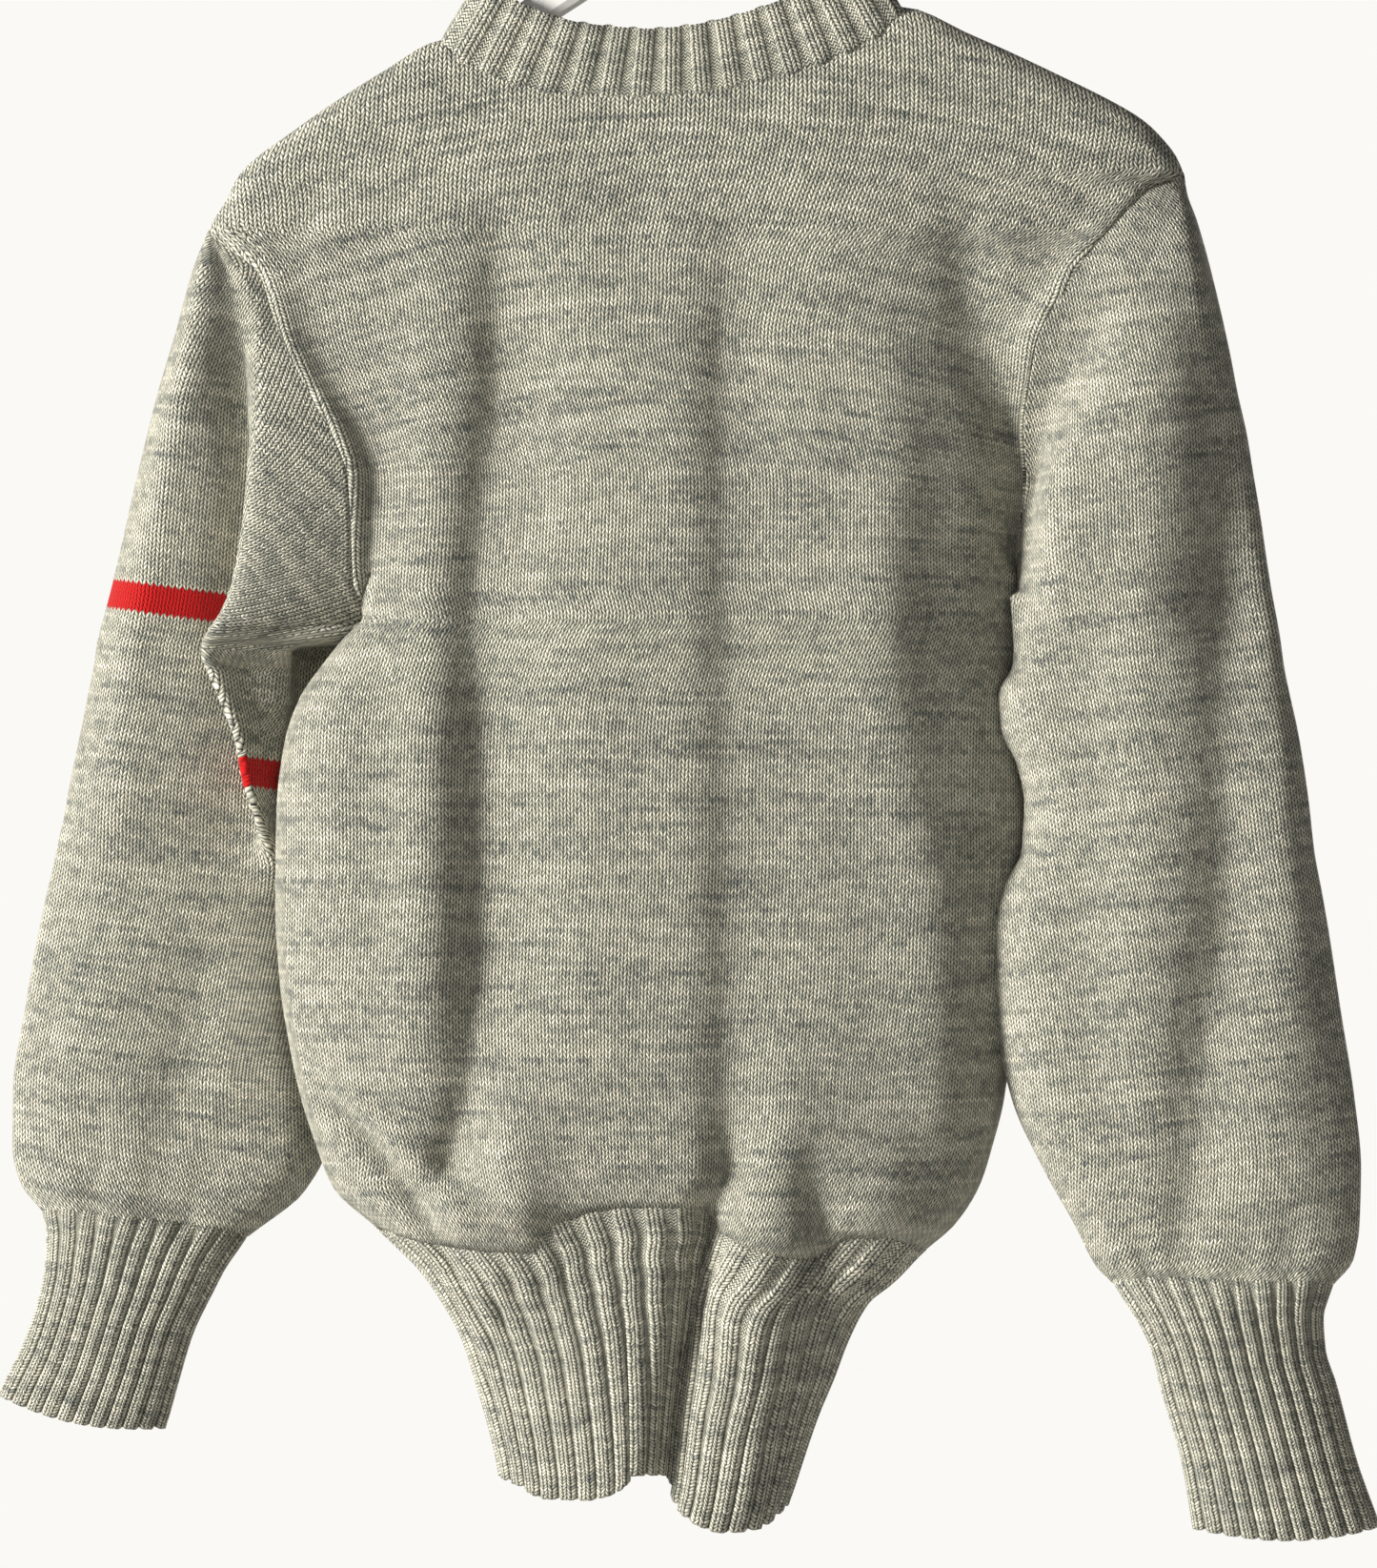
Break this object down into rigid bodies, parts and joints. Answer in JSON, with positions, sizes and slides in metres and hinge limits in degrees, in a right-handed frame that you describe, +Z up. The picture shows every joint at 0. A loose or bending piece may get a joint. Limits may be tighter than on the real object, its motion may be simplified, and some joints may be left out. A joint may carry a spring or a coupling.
{
  "type": "letterman sweater on a clothes hanger",
  "caption": "Knitted wool pullover with ribbed neck, cuffs and tall hem, a stripe on one sleeve, hung by its shoulders on a flat hanger with a wire hook.",
  "frame": {"origin": "under the top of the hanger's hook, where it rests on a rail", "axes": "+Z up, +X along the shoulders towards the garment's right sleeve as it is seen from behind, -Y out of the garment's back"},
  "size_m": [0.6044, 0.0956, 0.8049],
  "materials": {
    "grey_wool": "heathered knit",
    "painted_wood": "white satin paint",
    "hook_steel": "polished wire"
  },
  "bodies": {
    "root": {"back": "grey_wool", "front": "grey_wool", "sleeve_left": "grey_wool", "sleeve_right": "grey_wool", "hem_rib_back": "grey_wool", "hem_rib_front": "grey_wool", "cuff_left": "grey_wool", "cuff_right": "grey_wool", "neckband": "grey_wool", "hanger": "painted_wood", "hook": "hook_steel"}
  },
  "joints": []
}
